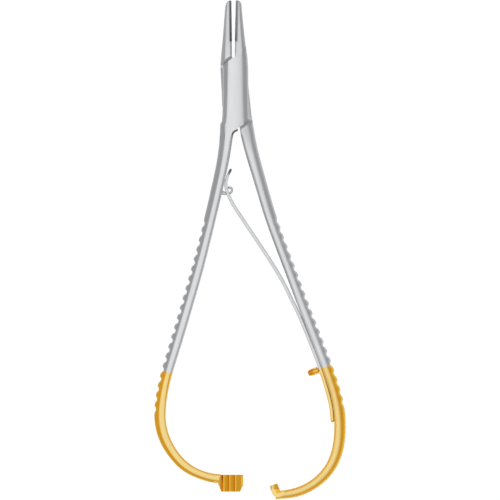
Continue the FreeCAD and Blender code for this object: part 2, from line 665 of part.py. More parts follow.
def tongue_half():
    """Left jaw, tongue, right arm and hook, forged in one."""
    body = new_body("tongue_half")
    jaw_loft(body, "tongue")
    box_loft(body, "tongue")
    end = size.tongue_half_width
    face = size.insert_proud
    pocket(body, "beside_left_jaw", [
        jaw_plane("tongue", face, size.tip_reach + BEYOND), jaw_plane("tongue", face, 12.0),
        wall_point(end, FAR), Vector(FAR, size.tip_reach + BEYOND, 0),
    ])
    top, bottom = right_arm_start()
    pocket(body, "beside_right_arm", [
        wall_point(-end, -FAR), top, bottom, bottom - Vector(0, BEYOND, 0),
        Vector(-12, -size.root_reach - BEYOND, 0),
    ])
    gap = size.seam_gap
    upper = size.upper_seam_height + gap / math.cos(math.radians(size.upper_seam_slope))
    lower = -size.lower_seam_height - gap / math.cos(math.radians(size.lower_seam_slope))
    between_seams = [
        seam_point(upper, size.upper_seam_slope, -12), seam_point(upper, size.upper_seam_slope, 12),
        seam_point(lower, size.lower_seam_slope, 12), seam_point(lower, size.lower_seam_slope, -12),
    ]
    pocket(body, "front_of_tongue", between_seams, level="(sizes.box_depth + sizes.tongue_thickness) / 2",
           downward=False)
    pocket(body, "rear_of_tongue", between_seams, level="(sizes.box_depth - sizes.tongue_thickness) / 2",
           downward=True)
    seam_shoulder(body, "upper_shoulder", upper, size.upper_seam_slope, 1)
    seam_shoulder(body, "lower_shoulder", lower, size.lower_seam_slope, -1)
    flank = body.newObject("PartDesign::Pocket", "flank_bevel")
    flank.Profile = cross_sketch(body, "flank_bevel_profile", -size.flank_reach, [])
    outer, face, drop = -size.tongue_left, size.tongue_thickness / 2, size.flank_drop
    for up in (1, -1):
        add_outline(flank.Profile[0], [
            Vector(outer + size.flank_bevel, MIDDLE + up * face, 0),
            Vector(outer - size.flank_bevel, MIDDLE + up * (face - 2 * drop), 0),
            Vector(outer - size.flank_bevel, MIDDLE + up * face, 0),
        ])
    flank.setExpression("Length", "2 * sizes.flank_reach")
    arm_loft(body, tongue_path)
    scallop_cut(body, tongue_path, size.tongue_grip_start, size.tongue_scallop_pitch,
                size.tongue_scallop_depth)
    hook(body)
    stud_seat(body)
    pin_bore(body, "sizes.pin_diameter + 2 * sizes.pin_running_gap")
    pocket(body, "insert_seat", insert_outline("tongue", -BEYOND, size.insert_thickness))
    rounded_tip(body, "tongue")
    return body


def joint_pin():
    """Flush pin of the box lock."""
    pin = doc.addObject("Part::Cylinder", "joint_pin")
    pin.Label = "joint_pin"
    pin.setExpression("Radius", "sizes.pin_diameter / 2")
    pin.setExpression("Height", "sizes.box_depth")
    return pin


def strip_outline(sketch, places, first_thickness, last_thickness):
    """Outline of a bent strip along a smooth path, with rounded ends."""
    centre = Part.BSplineCurve()
    centre.interpolate(places)
    sides = ([], [])
    for index, place in enumerate(places):
        tangent = centre.tangent(centre.parameter(place))[0]
        square = Vector(-tangent.y, tangent.x, 0)
        share = index / (len(places) - 1)
        half = (first_thickness + (last_thickness - first_thickness) * smooth(share * 2)) / 2
        sides[0].append(place + square * half)
        sides[1].append(place - square * half)
    for side in sides:
        curve = Part.BSplineCurve()
        curve.interpolate(side)
        sketch.addGeometry(curve)
    start = centre.tangent(centre.FirstParameter)[0]
    finish = centre.tangent(centre.LastParameter)[0]
    start_nose = places[0] - start * (first_thickness / 2)
    finish_nose = places[-1] + finish * (last_thickness / 2)
    sketch.addGeometry(Part.Arc(sides[0][0], start_nose, sides[1][0]))
    sketch.addGeometry(Part.Arc(sides[0][-1], finish_nose, sides[1][-1]))


def bent_strip(label, places, first_thickness, last_thickness, width):
    """Bent strip as a body: its outline in the plane of the handles, as wide as its sheet value."""
    body = new_body(label)
    sketch = flat_sketch(body, label + "_outline", [], level="sizes.box_depth / 2")
    strip_outline(sketch, places, first_thickness, last_thickness)
    pad = body.newObject("PartDesign::Pad", "strip")
    pad.Profile = sketch
    pad.SideType = "Symmetric"
    pad.setExpression("Length", width)
    return body


def seat_on_right_arm(distance, above):
    """Place at rest above the inner face of the right arm."""
    return OPEN_TURN.multVec(tongue_path.point(distance, tongue_path.width(distance) + above))


# Middle line of the spring at rest, from its curled end to where it meets the right arm
SPRING_SPAN = [
    (-1.84, -26.57), (-2.55, -28.00), (-3.08, -29.50), (-3.42, -31.00), (-3.37, -32.50), (-2.73, -34.58),
    (-1.55, -37.30), (2.56, -43.78), (7.12, -50.60), (11.58, -57.40), (15.67, -64.20), (19.06, -71.00),
]
SPRING_SLOT = (-36.0, -30.8)


def leaf_spring():
    """Strip along the right arm's inner face, then free across to its curl on the left arm."""
    above = size.spring_seat_gap + size.spring_thickness / 2
    lift, foot = size.spring_lift, size.spring_foot
    shares = (0.0, 0.25, 0.5, 0.75, 1.0)
    seat = [seat_on_right_arm(lift + (foot - lift) * share, above) for share in shares]
    places = [Vector(x, y, 0) for x, y in SPRING_SPAN] + seat
    body = bent_strip("leaf_spring", places, size.spring_tip_thickness, size.spring_thickness,
                      "sizes.spring_width")
    low, high = SPRING_SLOT
    half = size.keeper_width / 2 + size.keeper_slot_gap
    slot = body.newObject("PartDesign::Pocket", "keeper_slot")
    slot.Profile = flat_sketch(body, "keeper_slot_outline", [
        Vector(low, MIDDLE - half, 0), Vector(high, MIDDLE - half, 0),
        Vector(high, MIDDLE + half, 0), Vector(low, MIDDLE + half, 0),
    ], role="YZ_Plane")
    slot.Type = "ThroughAll"
    slot.SideType = "Symmetric"
    hole = body.newObject("PartDesign::Pocket", "stud_hole")
    hole.Profile = stud_circle(body, seat_on_right_arm(size.stud_distance, 0), OPEN_TURN.multVec(stud_axis()))
    hole.Type = "ThroughAll"
    hole.SideType = "Symmetric"
    return body


def stud_axis():
    """Out of the closed right arm's inner face at the stud."""
    return tongue_path.inward(size.stud_distance)


def stud_circle(body, place, axis):
    sketch = body.newObject("Sketcher::SketchObject", "stud_circle")
    sketch.Placement = Placement(place + FRONT * MIDDLE, Rotation(FRONT.cross(axis), FRONT, axis, "YZX"))
    sketch.addGeometry(Part.Circle(Vector(0, 0, 0), FRONT, size.stud_shank_diameter / 2))
    sketch.addConstraint(Sketcher.Constraint("Coincident", 0, 3, -1, 1))
    sketch.addConstraint(Sketcher.Constraint("Diameter", 0, size.stud_shank_diameter))
    sketch.setExpression("Constraints[1]", "sizes.stud_shank_diameter + 2 * sizes.stud_shank_gap")
    return sketch


def stop_stud():
    """Turned stud: its shank holds the spring to the arm, its nose stops the handles."""
    body = new_body("stop_stud")
    shank, foot = size.stud_shank_diameter / 2, size.stud_foot_diameter / 2
    wide, nose = size.stud_diameter / 2, size.stud_nose_diameter / 2
    depth = size.spring_thickness + size.spring_seat_gap + size.stud_seat_depth
    top = size.stud_length
    outline = [
        Vector(0, -depth, 0), Vector(shank, -depth, 0), Vector(shank, 0, 0), Vector(foot, 0, 0),
        Vector(foot, 0.3, 0), Vector(wide, 0.55, 0), Vector(wide, top - 1.7, 0),
        (Vector(wide * 0.5 + nose * 0.5 + 0.04, top - 0.95, 0), Vector(nose, top - 0.35, 0)),
        (Vector(nose - 0.12, top - 0.1, 0), Vector(nose - 0.4, top, 0)),
        Vector(0, top, 0),
    ]
    turned = body.newObject("PartDesign::Revolution", "turned")
    sketch = flat_sketch(body, "stud_profile", outline, role="XZ_Plane")
    turned.Profile = sketch
    turned.ReferenceAxis = (sketch, ["V_Axis"])
    turned.Angle = 360
    axis = OPEN_TURN.multVec(stud_axis())
    above = size.spring_seat_gap + size.spring_thickness + size.stud_foot_gap
    place = seat_on_right_arm(size.stud_distance, above)
    body.Placement = Placement(place + FRONT * MIDDLE, Rotation(FRONT.cross(axis), FRONT, axis, "YZX"))
    return body


def keeper_frame():
    """Where the keeper leaves the left arm, the way it points and the way up towards the box."""
    place = box_path.point(size.keeper_distance, box_path.width(size.keeper_distance))
    away = box_path.inward(size.keeper_distance)
    return place, away, Vector(-away.y, away.x, 0)


# Middle line of the keeper: away from the arm's inner edge, and up towards the box
KEEPER_BENDS = [(0.0, 0.0), (1.1, -0.05), (2.0, 0.05), (2.75, 0.45), (3.15, 1.30), (2.80, 2.10), (1.95, 2.20)]


def spring_keeper():
    """Hooked bar seated in the left arm, which passes through the spring's slot and holds its curl."""
    place, away, up = keeper_frame()
    bends = [(-size.keeper_seat_depth, 0.0)] + KEEPER_BENDS
    places = [place + away * out + up * rise for out, rise in bends]
    return bent_strip("spring_keeper", places, size.keeper_thickness, size.keeper_tip_thickness,
                      "sizes.keeper_width")


box = box_half()
tongue = tongue_half()
box_insert = jaw_insert("box_jaw_insert", "box")
tongue_insert = jaw_insert("tongue_jaw_insert", "tongue")
pin = joint_pin()
spring = leaf_spring()
stud = stop_stud()
keeper = spring_keeper()
doc.recompute()
for part in (tongue, tongue_insert):
    part.Placement = Placement(Vector(0, 0, 0), OPEN_TURN)
doc.recompute()

pieces = [box, tongue, box_insert, tongue_insert, pin, spring, stud, keeper]
for item in doc.Objects:
    if "Invalid" in item.State or "Error" in item.State:
        raise SystemExit("%s failed: %s" % (item.Name, item.State))
for piece in pieces:
    shape = piece.Shape
    if shape.isNull() or not shape.isValid() or len(shape.Solids) != 1:
        raise SystemExit("%s is not one valid solid" % piece.Label)
os.makedirs("parts", exist_ok=True)
for piece in pieces:
    piece.Shape.exportStep("parts/%s.step" % piece.Label)
    print("%s %.1f mm3" % (piece.Label, piece.Shape.Volume))
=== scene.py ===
"""Surgical needle holder: satin steel with gilt bows, seen from straight above on a white table."""
import math

import bmesh
import bpy
from mathutils import Matrix, Vector


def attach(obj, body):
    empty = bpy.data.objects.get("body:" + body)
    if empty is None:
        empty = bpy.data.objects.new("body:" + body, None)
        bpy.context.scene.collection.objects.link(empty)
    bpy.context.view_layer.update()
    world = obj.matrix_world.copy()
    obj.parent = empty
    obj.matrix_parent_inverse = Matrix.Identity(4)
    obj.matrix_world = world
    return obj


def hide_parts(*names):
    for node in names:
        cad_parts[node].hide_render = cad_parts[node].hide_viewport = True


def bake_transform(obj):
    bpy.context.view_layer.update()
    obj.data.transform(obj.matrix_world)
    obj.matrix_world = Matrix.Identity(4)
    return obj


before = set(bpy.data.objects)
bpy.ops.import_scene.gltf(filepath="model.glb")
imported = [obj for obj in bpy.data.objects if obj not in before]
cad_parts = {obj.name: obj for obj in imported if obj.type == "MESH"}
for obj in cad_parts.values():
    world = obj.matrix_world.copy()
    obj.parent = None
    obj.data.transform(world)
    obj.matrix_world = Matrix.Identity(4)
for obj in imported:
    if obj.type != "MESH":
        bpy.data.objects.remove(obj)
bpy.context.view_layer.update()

MM = 0.001
# Places are in mm, in the plane of the handles. A zone runs from where it starts to where it is full.
# Height of that plane, and how far the jaws stand open
MIDDLE = 3.25
OPENING = math.radians(2.7)

# The gilding starts at a line square to each arm: the line's direction of travel and its distance
GILT_LINES = {"box_half": ((-0.306, -0.952), 98.0), "tongue_half": ((0.250, -0.968), 98.3)}
LINE_SOFTNESS = 0.2
# Direction in which each half's arm was polished, from the box towards its bow
ARM_LINES = {"box_half": (-0.262, -0.965), "tongue_half": (0.333, -0.943)}
# Sizes of the polishing marks across, along and in depth, and of the patches in the other finishes
BELT_GRAIN = (0.09, 6.0, 0.09)
SMALL_GRAIN = (0.6, 0.6, 0.6)
GILT_GRAIN = (4.0, 4.0, 4.0)
STUD_GRAIN = (2.0, 2.0, 2.0)
METAL_GRAIN = (0.1, 0.1, 0.1)
GRAIN_ROUGHNESS = 0.6
# Values between which most of the grain lies
GRAIN_SPAN = (0.3, 0.7)
BUMP_DEPTH = 0.00002

# How far creases are worn, in metres: forgings, small pieces, inserts, and the ratchet and hook
WORN_EDGE = 0.00120
FINE_EDGE = 0.00015
INSERT_EDGE = 0.00006
CRISP_EDGE = 0.00012
# The right side is worn more than the left, and the jaws less than the box
WEAR_ZONE, WEAR_LEFT, WEAR_RIGHT = (-3, 3), 0.8, 1.3
JAW_ZONE, JAW_WEAR, JAW_SHARE = (10, 18), 0.5, 0.2
INSERT_ZONE = (17, 31)

# How much the box's faces lean for each millimetre from their middle, and where the middle lies
CROWN = 0.075
CROWN_MIDDLE = -0.3
CROWN_TOP, CROWN_FOOT = (15, 11), (-21, -13)
# Upward part of the normal on a face flat enough to be crowned
CROWN_FACES = (0.96, 0.995)
# The brushing turns from the box's direction to the arm's here
BOX_FOOT = (-14, -20)
# The pin's rim stays crisp, and so do the seams: where each crosses the pin's line, and its slope
PIN_RIM = (1.6, 1.9)
SEAMS = ((12.5, 0.685), (-12.8, 0.600))
SEAM_ZONE = (0.5, 1.3)
# Middles of the ratchet plate and the hook, whose edges stay crisp, and how far each reaches
CRISP_SPOTS = (((-1.7, -133.4), 4.6), ((13.4, -135.4), 2.9))
CRISP_FADE = 0.5
# The ratchet plate's left and upper ends, within which shade is painted into the gilt
PLATE_LEFT, PLATE_TOP = (-5.6, -5.2), (-127, -128)
# Line that parts the hook's bright ridge from its inner flank, which gets painted shade, and the flank's
# middle, reach and fade
HOOK_LINE = ((0.978, 0.2075), -14.95)
HOOK_FLANK = ((14.3, -134.6), 2.0, 0.2)
# Fillet between the left arm and the box's lower lip, where shade is painted: middle, reach and fade
CROTCH_SHADE_SPOT = ((-0.2, -13.6), 1.4, 0.7)
CROTCH_SHADE_TILT = (0.03, 0.12)
# The right arm's inner bevel where the spring lies on it, which painted light lifts towards the flats' tone
SEAT_TOP, SEAT_FOOT, SEAT_PAINTED_LIGHT = (-60, -76), (-114, -108), 0.65
SEAT_INWARD, SEAT_UPWARD = (-0.05, -0.30), (0.40, 0.70)
# The spring's curled end, which gets painted shade where it turns away from the light, and its side in the
# shade of the right arm
SPRING_TIP = ((-1.75, -26.4), 1.1, 2.4)
SHADED_HEIGHTS, SHADED_SIDE = (-72, -80), (0.05, 0.35)
# Nose of the stop stud, which gets painted shade where it slopes away from the light
STUD_TIP = ((24.6, -95.4), 1.3, 2.4)


def srgb(red, green, blue):
    """Colour from its 0 to 255 values as seen."""
    def linear(value):
        value = value / 255
        return value / 12.92 if value <= 0.04045 else ((value + 0.055) / 1.055) ** 2.4
    return (linear(red), linear(green), linear(blue), 1.0)


# Tones of the flats, the bevels and the steep flanks: the bevels' and flanks' tones are painted light and
# shade for how far those faces lean
STEEL = (srgb(238, 240, 242), srgb(184, 186, 189), srgb(214, 216, 219))
SPRING = (srgb(230, 231, 233), srgb(219, 221, 223), srgb(204, 206, 208))
KEEPER = (srgb(214, 216, 218), srgb(162, 164, 167), srgb(104, 106, 109))
GILT = (srgb(253, 226, 150), srgb(250, 180, 50), srgb(255, 212, 100))
# Tilts between which the flats' tone turns to the bevels' painted shade, and the bevels' to the flanks'
STEEL_TILT, GILT_TILT, DEEP_TILT = (0.01, 0.09), (0.0, 0.045), (0.14, 0.24)
# On the ratchet and the hook even a slight tilt takes the deep painted shade
CRISP_TILT = 8.0
JAW_STEEL = srgb(140, 142, 145)
# Grey of the painted shade in the fillet between the left arm and the box's lower lip
CROTCH_SHADE_GREY = srgb(124, 126, 129)
BELT_MARK = (0.30, 0.31, 0.32, 1.0)
# Amber of the painted shade on the ratchet plate and the hook's inner flank
PLATE_SHADE_AMBER = srgb(250, 188, 60)
# Amber of the painted shade on the stud's nose
NOSE_SHADE_AMBER = srgb(228, 152, 40)
# What a gilt surface turns to where it is seen edge on
GILT_RIM = srgb(240, 180, 50)
# Grey of the painted shade on the spring's tip
TIP_SHADE_GREY = srgb(106, 107, 110)
SHADED_STEEL, SHADED_GILT = srgb(62, 64, 67), srgb(136, 84, 18)
METAL_GRIT = srgb(70, 71, 73)
WHITE = (1.0, 1.0, 1.0, 1.0)

# Sockets of a mix node by what it mixes: its two inputs and its output
MIX_SOCKETS = {"FLOAT": (2, 3, 0), "VECTOR": (4, 5, 1), "RGBA": (6, 7, 2)}


class Recipe:
    """A material being put together, one node at a time."""

    def __init__(self, name):
        self.material = bpy.data.materials.new(name)
        self.material.use_nodes = True
        self.tree = self.material.node_tree
        self.tree.nodes.clear()
        self.shader = self.add("ShaderNodeBsdfPrincipled")
        self.output = self.add("ShaderNodeOutputMaterial")
        self.link(self.shader.outputs[0], self.output.inputs[0])

    def add(self, kind, **settings):
        node = self.tree.nodes.new(kind)
        for name, value in settings.items():
            setattr(node, name, value)
        return node

    def link(self, source, target):
        self.tree.links.new(source, target)

    def feed(self, socket, value):
        """Gives a socket a number, a colour or another node's output."""
        if isinstance(value, bpy.types.NodeSocket):
            self.link(value, socket)
        else:
            socket.default_value = value

    def math(self, operation, first, second=0.0, clamp=False):
        node = self.add("ShaderNodeMath", operation=operation, use_clamp=clamp)
        self.feed(node.inputs[0], first)
        self.feed(node.inputs[1], second)
        return node.outputs[0]

    def vector_math(self, operation, first, second):
        node = self.add("ShaderNodeVectorMath", operation=operation)
        self.feed(node.inputs[0], first)
        self.feed(node.inputs[1], second)
        return node.outputs

    def product(self, first, *others):
        """Product of several shares."""
        for other in others:
            first = self.math("MULTIPLY", first, other)
        return first

    def place(self):
        return self.add("ShaderNodeTexCoord").outputs["Object"]

    def plain_normal(self):
        return self.add("ShaderNodeNewGeometry").outputs["Normal"]

    def parts(self, vector=None):
        """The three parts of a vector, or of the place if none is given."""
        node = self.add("ShaderNodeSeparateXYZ")
        self.link(self.place() if vector is None else vector, node.inputs[0])
        return tuple(node.outputs)

    def along(self, across, up):
        """How far the place lies in a direction in the plane of the handles."""
        return self.vector_math("DOT_PRODUCT", self.place(), (across, up, 0.0))["Value"]

    def grain(self, sizes, turn=0.0, detail=3.0):
        """Noise in patches of some size along each axis, turned in the plane of the handles."""
        mapping = self.add("ShaderNodeMapping", vector_type="TEXTURE")
        self.link(self.place(), mapping.inputs["Vector"])
        mapping.inputs["Rotation"].default_value = (0.0, 0.0, turn)
        mapping.inputs["Scale"].default_value = [size * MM for size in sizes]
        node = self.add("ShaderNodeTexNoise")
        self.link(mapping.outputs[0], node.inputs["Vector"])
        node.inputs["Scale"].default_value = 1.0
        node.inputs["Detail"].default_value = detail
        node.inputs["Roughness"].default_value = GRAIN_ROUGHNESS
        return node.outputs[0]

    def span(self, value, limits, to_low=0.0, to_high=1.0):
        """Stretches a value from one span to another, held at both ends."""
        node = self.add("ShaderNodeMapRange")
        self.feed(node.inputs["Value"], value)
        for name, number in zip(("From Min", "From Max", "To Min", "To Max"), (*limits, to_low, to_high)):
            self.feed(node.inputs[name], number)
        return node.outputs[0]

    def zone(self, value, limits, to_low=0.0, to_high=1.0):
        """The same for a place between limits in mm."""
        return self.span(value, [limit * MM for limit in limits], to_low, to_high)

    def blend(self, share, first, second, kind="RGBA"):
        """Mixes two colours, numbers or vectors."""
        node = self.add("ShaderNodeMix", data_type=kind)
        one, two, out = MIX_SOCKETS[kind]
        self.feed(node.inputs[0], share)
        self.feed(node.inputs[one], first)
        self.feed(node.inputs[two], second)
        return node.outputs[out]

    def beyond(self, spot, inner, outer):
        """0 within a distance of a spot, whatever the height, and 1 from a farther one."""
        flat = self.vector_math("MULTIPLY", self.place(), (1.0, 1.0, 0.0))[0]
        away = self.vector_math("DISTANCE", flat, (spot[0] * MM, spot[1] * MM, 0.0))
        return self.zone(away["Value"], (inner, outer))

    def within(self, spot, reach, fade):
        """1 within a distance of a spot, fading to 0 beyond it."""
        return self.span(self.beyond(spot, reach, reach + fade), (1.0, 0.0))

    def past_line(self, line):
        """1 on the far side of a line across the instrument, 0 on the near side."""
        direction, distance = line
        return self.zone(self.along(*direction), (distance - LINE_SOFTNESS, distance + LINE_SOFTNESS))

    def off_seam(self, height, slope):
        """0 on a seam of the box and 1 from a millimetre or so away."""
        length = math.hypot(slope, 1.0)
        past = self.math("SUBTRACT", self.along(-slope / length, 1.0 / length), height * MM / length)
        return self.zone(self.math("ABSOLUTE", past), SEAM_ZONE)

    def beyond_crisp(self):
        """0 on the ratchet plate and the hook, 1 elsewhere."""
        first, second = (self.beyond(spot, reach, reach + CRISP_FADE) for spot, reach in CRISP_SPOTS)
        return self.math("MINIMUM", first, second)

    def softened(self, radius):
        """Normal of the surface with its creases worn round, but for the pin's rim and the seams."""
        node = self.add("ShaderNodeBevel", samples=8)
        if radius > CRISP_EDGE:
            across, height, _ = self.parts()
            side = self.zone(across, WEAR_ZONE, WEAR_LEFT * radius, WEAR_RIGHT * radius)
            jaw = self.zone(height, JAW_ZONE, 1.0, JAW_WEAR)
            crisp = self.span(self.beyond_crisp(), (0.0, 1.0), CRISP_EDGE / radius, 1.0)
            self.link(self.product(side, jaw, crisp), node.inputs["Radius"])
        else:
            node.inputs["Radius"].default_value = radius
        worn = self.beyond((0.0, 0.0), *PIN_RIM)
        for height, slope in SEAMS:
            worn = self.math("MINIMUM", worn, self.off_seam(height, slope))
        return self.blend(worn, self.plain_normal(), node.outputs[0], "VECTOR")

    def tilt(self, radius):
        """How far the worn surface leans from facing straight up or down: 0 on flats, 1 on flanks."""
        upward = self.parts(self.softened(radius))[2]
        return self.math("SUBTRACT", 1.0, self.math("ABSOLUTE", upward))

    def gilt_shade_share(self, half):
        """1 on the ratchet plate, or on the hook's inner flank, where shade is painted into the gilt."""
        if half == "box_half":
            across, height, _ = self.parts()
            return self.product(self.zone(across, PLATE_LEFT), self.zone(height, PLATE_TOP))
        return self.product(self.past_line(HOOK_LINE), self.within(*HOOK_FLANK))

    def beside_spring(self):
        """Share of painted light on the right arm's inner bevel, where the spring lies on it."""
        across, _, upward = self.parts(self.softened(WORN_EDGE))
        height = self.parts()[1]
        return self.product(self.span(across, SEAT_INWARD), self.span(upward, SEAT_UPWARD),
                            self.zone(height, SEAT_TOP), self.zone(height, SEAT_FOOT), SEAT_PAINTED_LIGHT)

    def brushing(self, line):
        """Fine lines of the polishing belt, along the box above its foot and along the arm below it."""
        across, along = line
        box, arm = self.grain(BELT_GRAIN), self.grain(BELT_GRAIN, math.atan2(across, -along))
        return self.blend(self.zone(self.parts()[1], BOX_FOOT), box, arm, "FLOAT")

    def crowned(self, normal):
        """The box's broad faces are polished slightly round from side to side."""
        across, height, _ = self.parts()
        slope = self.product(self.math("SUBTRACT", across, CROWN_MIDDLE * MM), CROWN / MM)
        share = self.product(self.zone(height, CROWN_TOP), self.zone(height, CROWN_FOOT),
                             self.span(self.parts(normal)[2], CROWN_FACES))
        lean = self.add("ShaderNodeCombineXYZ")
        self.link(self.product(slope, share), lean.inputs[0])
        both = self.vector_math("ADD", normal, lean.outputs[0])[0]
        unit = self.add("ShaderNodeVectorMath", operation="NORMALIZE")
        self.link(both, unit.inputs[0])
        return unit.outputs[0]

    def finish(self, colour, roughness, bump, strength, edge, crown=False):
        """Bare metal with a colour, a roughness, fine relief and worn edges."""
        normal = self.softened(edge)
        if crown:
            normal = self.crowned(normal)
        relief = self.add("ShaderNodeBump")
        relief.inputs["Strength"].default_value = strength
        relief.inputs["Distance"].default_value = BUMP_DEPTH
        self.link(bump, relief.inputs["Height"])
        self.link(normal, relief.inputs["Normal"])
        self.shader.inputs["Metallic"].default_value = 1.0
        self.feed(self.shader.inputs["Base Color"], colour)
        self.feed(self.shader.inputs["Roughness"], roughness)
        self.link(relief.outputs[0], self.shader.inputs["Normal"])
        return self.material


def tilt_shaded_colour(recipe, tones, edge, ramp):
    """Painted light and shade by lean: the flats keep their pale tone, and the bevels and steeper flanks
    take the tones their lean gets in the light.
    """
    flat, bevel, deep = tones
    steeper = recipe.span(recipe.beyond_crisp(), (0.0, 1.0), CRISP_TILT, 1.0)
    tilt = recipe.product(recipe.tilt(edge), steeper)
    first = recipe.blend(recipe.span(tilt, ramp), flat, bevel)
    return recipe.blend(recipe.span(tilt, DEEP_TILT), first, deep)


def forging_colours(recipe, half, steel, gilt):
    """What a forging's steel and gilt turn to in its own places: painted light beside the spring, painted
    shade on the ratchet plate, the hook's flank and the crotch, and darker steel towards the jaws.
    """
    if half == "tongue_half":
        # Painted light: beside the spring the inner bevel takes the flats' tone
        beside = recipe.beside_spring()
        steel = recipe.blend(beside, steel, STEEL[0])
        gilt = recipe.blend(beside, gilt, GILT[0])
    gilt = recipe.blend(recipe.gilt_shade_share(half), gilt, PLATE_SHADE_AMBER)
    steel = recipe.blend(recipe.zone(recipe.parts()[1], JAW_ZONE, 0.0, JAW_SHARE), steel, JAW_STEEL)
    if half == "box_half":
        # Painted shade in the fillet between the left arm and the box's lower lip
        shadow = recipe.product(recipe.within(*CROTCH_SHADE_SPOT), recipe.span(recipe.tilt(FINE_EDGE), CROTCH_SHADE_TILT))
        steel = recipe.blend(shadow, steel, CROTCH_SHADE_GREY)
    return steel, gilt


def spring_painted_shade(recipe, colour, plated):
    """Paints shade on the spring's curled tip and on its side that faces the arm, in the arm's shadow."""
    colour = recipe.blend(recipe.beyond(*SPRING_TIP), TIP_SHADE_GREY, colour)
    arm_shadow_share = recipe.product(recipe.span(recipe.parts(recipe.plain_normal())[0], SHADED_SIDE),
                            recipe.zone(recipe.parts()[1], SHADED_HEIGHTS))
    return recipe.blend(arm_shadow_share, colour, recipe.blend(plated, SHADED_STEEL, SHADED_GILT))


def plated_steel(name, half, tones=STEEL, edge=WORN_EDGE):
    """Satin steel along an arm's brushing, gilt past the half's line. A fine edge marks a small piece."""
    recipe = Recipe(name)
    forging = edge == WORN_EDGE
    brushed = recipe.brushing(ARM_LINES[half]) if forging else recipe.grain(SMALL_GRAIN)
    steel = tilt_shaded_colour(recipe, tones, edge, STEEL_TILT)
    gilt = tilt_shaded_colour(recipe, GILT, edge, GILT_TILT)
    if forging:
        steel, gilt = forging_colours(recipe, half, steel, gilt)
    plated = recipe.past_line(GILT_LINES[half])
    marked = recipe.blend(recipe.span(brushed, GRAIN_SPAN, 0.0, 0.10), steel, BELT_MARK)
    colour = recipe.blend(plated, marked, gilt)
    # Painted shade on the spring's tip and on its side by the arm
    if tones is SPRING:
        colour = spring_painted_shade(recipe, colour, plated)
    rough_steel = recipe.span(brushed, GRAIN_SPAN, 0.30, 0.42)
    rough_gilt = recipe.span(recipe.grain(GILT_GRAIN, detail=2.0), GRAIN_SPAN, 0.26, 0.34)
    rough = recipe.blend(plated, rough_steel, rough_gilt, "FLOAT")
    recipe.link(recipe.blend(plated, WHITE, GILT_RIM), recipe.shader.inputs["Specular Tint"])
    return recipe.finish(colour, rough, brushed, 0.16 if forging else 0.05, edge, crown=forging)


def gilt_finish():
    """Gilt of the stud, with painted shade on its nose, which slopes away from the light."""
    recipe = Recipe("gilt_stud")
    cloud = recipe.grain(STUD_GRAIN)
    gilt = tilt_shaded_colour(recipe, GILT, FINE_EDGE, GILT_TILT)
    colour = recipe.blend(recipe.beyond(*STUD_TIP), NOSE_SHADE_AMBER, gilt)
    recipe.shader.inputs["Specular Tint"].default_value = GILT_RIM
    return recipe.finish(colour, recipe.span(cloud, GRAIN_SPAN, 0.24, 0.34), cloud, 0.1, FINE_EDGE)


def hard_metal(name, root, tip):
    """Dark sintered metal, rubbed brighter towards the jaw's tip."""
    recipe = Recipe(name)
    grain = recipe.grain(METAL_GRAIN)
    rubbed = recipe.blend(recipe.zone(recipe.parts()[1], INSERT_ZONE), root, tip)
    colour = recipe.blend(recipe.span(grain, GRAIN_SPAN, 0.0, 0.25), rubbed, METAL_GRIT)
    return recipe.finish(colour, recipe.span(grain, GRAIN_SPAN, 0.38, 0.5), grain, 0.2, INSERT_EDGE)


def put(node, material):
    """Gives a CAD node its finish."""
    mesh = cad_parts[node].data
    mesh.materials.clear()
    mesh.materials.append(material)


box_steel = plated_steel("box_half_steel", "box_half")
tongue_steel = plated_steel("tongue_half_steel", "tongue_half")
# The two inserts are one metal: the tongue's darker tones are painted shade, as its gripping face turns away
# from the light
box_metal = hard_metal("box_insert_metal", srgb(140, 141, 143), srgb(178, 179, 181))
shaded_tongue_metal = hard_metal("tongue_insert_metal_shaded", srgb(104, 105, 107), srgb(158, 159, 161))
put("box_half", box_steel)
put("joint_pin", box_steel)
put("tongue_half", tongue_steel)
put("box_jaw_insert", box_metal)
put("tongue_jaw_insert", shaded_tongue_metal)


def placed(name, data):
    """A new object in the scene, at the origin."""
    piece = bpy.data.objects.new(name, data)
    bpy.context.scene.collection.objects.link(piece)
    return piece


def worked_out(piece):
    """Mesh of a piece with its modifiers, or of a curve."""
    graph = bpy.context.evaluated_depsgraph_get()
    return bpy.data.meshes.new_from_object(piece.evaluated_get(graph), depsgraph=graph)


def settle(piece):
    """Turns the piece's modifiers into its mesh."""
    mesh = worked_out(piece)
    piece.modifiers.clear()
    piece.data = mesh


def as_mesh(shell, name):
    """Mesh of a shell, which is done with."""
    mesh = bpy.data.meshes.new(name)
    shell.to_mesh(mesh)
    shell.free()
    return mesh


def smooth(mesh):
    mesh.polygons.foreach_set("use_smooth", [True] * len(mesh.polygons))


# Edges leaning less than this apart are one face's, and edges leaning more than that are rounded
ONE_FACE, SHARP = math.radians(0.5), math.radians(40)
ROUNDING_STEPS = 4


def rounded_copy(name, node, radius, material):
    """A small piece's own shape with its edges rounded off."""
    shell = bmesh.new()
    shell.from_mesh(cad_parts[node].data)
    bmesh.ops.remove_doubles(shell, verts=shell.verts, dist=1e-6)
    bmesh.ops.dissolve_limit(shell, angle_limit=ONE_FACE, verts=shell.verts, edges=shell.edges)
    piece = placed(name, as_mesh(shell, name))
    smooth(piece.data)
    rounding = piece.modifiers.new("rounding", "BEVEL")
    rounding.width = radius
    rounding.segments = ROUNDING_STEPS
    rounding.use_clamp_overlap = False
    rounding.harden_normals = True
    rounding.limit_method = "ANGLE"
    rounding.angle_limit = SHARP
    settle(piece)
    piece.data.materials.append(material)
    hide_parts(node)
    return piece


# Points between two places of a strip's line, points round its section, turns of the rings that round
# its ends off, and how far its edges are rounded
LINE_STEPS = 10
SECTION_POINTS = 20
END_TURNS = (25, 50, 75)
STRIP_ROUNDING = 0.24
